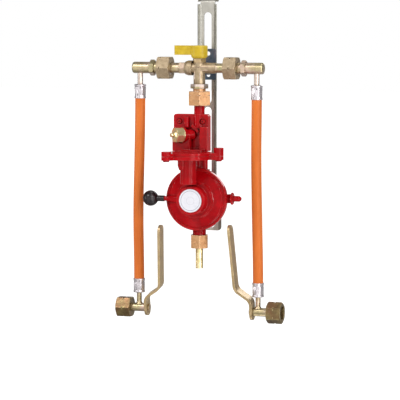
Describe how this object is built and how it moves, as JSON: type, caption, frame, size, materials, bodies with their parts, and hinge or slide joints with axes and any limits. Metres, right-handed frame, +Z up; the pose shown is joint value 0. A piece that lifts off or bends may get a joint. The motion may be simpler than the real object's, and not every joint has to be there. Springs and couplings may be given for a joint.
{
  "type": "propane regulator hose set",
  "caption": "Wall-mounted changeover tee with a two-stage gas regulator and a pair of high-pressure hoses that end in hand-lever bottle connectors.",
  "frame": {"origin": "on the wall plane, midway between the two slots that take the wall screws", "axes": "+X to the right seen from the front, +Y into the wall, +Z up along the rail"},
  "size_m": [0.273, 0.1524, 0.5409],
  "materials": {
    "rail_steel": "galvanised",
    "blue_zinc": "blue-passivated zinc plate",
    "fastener_steel": "zinc plated",
    "dull_brass": "matte, as cast and turned",
    "turned_brass": "turned",
    "copper_brass": "satin, warm",
    "bright_brass": "bright",
    "yellow_plating": "yellow-passivated",
    "ferrule_steel": "chromed",
    "hose_rubber": "matte orange",
    "lever_yellow": "smooth moulded",
    "red_enamel": "gloss enamel on die casting",
    "black_plastic": "smooth",
    "label_plastic": "plain disc",
    "seal_rubber": "matte",
    "spring_steel": "drawn wire"
  },
  "bodies": {
    "manifold": {"wall_rail": "rail_steel", "saddle_plate": "blue_zinc", "clamp_washer": "fastener_steel", "clamp_screw": "fastener_steel", "tee_body": "dull_brass", "gland_nut": "turned_brass", "tee_lock_nut": "turned_brass", "union_seals": "seal_rubber", "inlet_seal": "seal_rubber", "inlet_body": "red_enamel", "test_plug": "bright_brass", "body_screws": "red_enamel", "flange_screws": "red_enamel", "first_stage_diaphragm": "seal_rubber", "first_stage_bonnet": "red_enamel", "first_stage_spring": "spring_steel", "rear_housing": "red_enamel", "front_cover": "red_enamel", "bonnet_cap": "red_enamel", "label_disc": "label_plastic", "second_stage_diaphragm": "seal_rubber", "orifice_seat": "turned_brass", "outlet_tube": "bright_brass", "outlet_olive": "turned_brass", "relief_valve": "red_enamel", "left_tailpiece": "turned_brass", "left_elbow": "turned_brass", "left_upper_ferrule": "ferrule_steel", "left_hose": "hose_rubber", "left_lower_ferrule": "ferrule_steel", "left_banjo": "turned_brass", "right_tailpiece": "turned_brass", "right_elbow": "turned_brass", "right_upper_ferrule": "ferrule_steel", "right_hose": "hose_rubber", "right_lower_ferrule": "ferrule_steel", "right_banjo": "turned_brass"},
    "changeover": {"changeover_plug": "turned_brass", "changeover_lever": "lever_yellow", "lever_screw": "fastener_steel"},
    "inlet_nut_body": {"inlet_nut": "copper_brass"},
    "outlet_nut_body": {"outlet_nut": "copper_brass"},
    "left_union_body": {"left_union_nut": "dull_brass"},
    "right_union_body": {"right_union_nut": "dull_brass"},
    "left_connector": {"left_spindle": "turned_brass", "left_cylinder_nut": "dull_brass", "left_lever": "yellow_plating", "left_lever_nut": "yellow_plating"},
    "right_connector": {"right_spindle": "turned_brass", "right_cylinder_nut": "dull_brass", "right_lever": "yellow_plating", "right_lever_nut": "yellow_plating"},
    "reset_push": {"reset_knob": "black_plastic"},
    "first_valve": {"first_stage_valve": "turned_brass"},
    "piston": {"diaphragm_plate": "fastener_steel", "main_spring": "spring_steel"},
    "seat_lever": {"valve_lever": "turned_brass"}
  },
  "joints": [
    {"name": "changeover_turn", "type": "hinge", "parent": "manifold", "child": "changeover", "pos_m": [0, -0.063, 0.0603], "axis": [0, 0, 1], "range_deg": [0, 180]},
    {"name": "inlet_nut_turn", "type": "hinge", "parent": "manifold", "child": "inlet_nut_body", "pos_m": [0, -0.063, 0.015], "axis": [0, 0, 1], "continuous": true},
    {"name": "outlet_nut_turn", "type": "hinge", "parent": "manifold", "child": "outlet_nut_body", "pos_m": [0, -0.063, -0.213], "axis": [0, 0, 1], "continuous": true},
    {"name": "left_union_turn", "type": "hinge", "parent": "manifold", "child": "left_union_body", "pos_m": [-0.058, -0.063, 0.0603], "axis": [1, 0, 0], "continuous": true},
    {"name": "right_union_turn", "type": "hinge", "parent": "manifold", "child": "right_union_body", "pos_m": [0.053, -0.063, 0.0603], "axis": [1, 0, 0], "continuous": true},
    {"name": "left_connector_turn", "type": "hinge", "parent": "manifold", "child": "left_connector", "pos_m": [-0.1, -0.063, -0.322], "axis": [1, 0, 0], "continuous": true},
    {"name": "right_connector_turn", "type": "hinge", "parent": "manifold", "child": "right_connector", "pos_m": [0.1, -0.063, -0.322], "axis": [1, 0, 0], "continuous": true},
    {"name": "reset_slide", "type": "slide", "parent": "manifold", "child": "reset_push", "axis": [1, 0, 0], "range_m": [0, 0.005], "stiffness_N_per_m": 400, "springref_m": -0.001},
    {"name": "first_valve_slide", "type": "slide", "parent": "manifold", "child": "first_valve", "axis": [0, 0, -1], "range_m": [0, 0.001], "stiffness_N_per_m": 800, "springref_m": -0.0005, "deforming": ["first_stage_spring"]},
    {"name": "piston_slide", "type": "slide", "parent": "manifold", "child": "piston", "axis": [0, -1, 0], "range_m": [0, 0.002], "stiffness_N_per_m": 500, "springref_m": -0.0005},
    {"name": "seat_lever_turn", "type": "hinge", "parent": "manifold", "child": "seat_lever", "pos_m": [0, -0.063, -0.1652], "axis": [1, 0, 0], "range_deg": [0, 6]}
  ],
  "couplings": [
    {"joint": "seat_lever_turn", "follows": "piston_slide", "rad_per_m": 50}
  ]
}
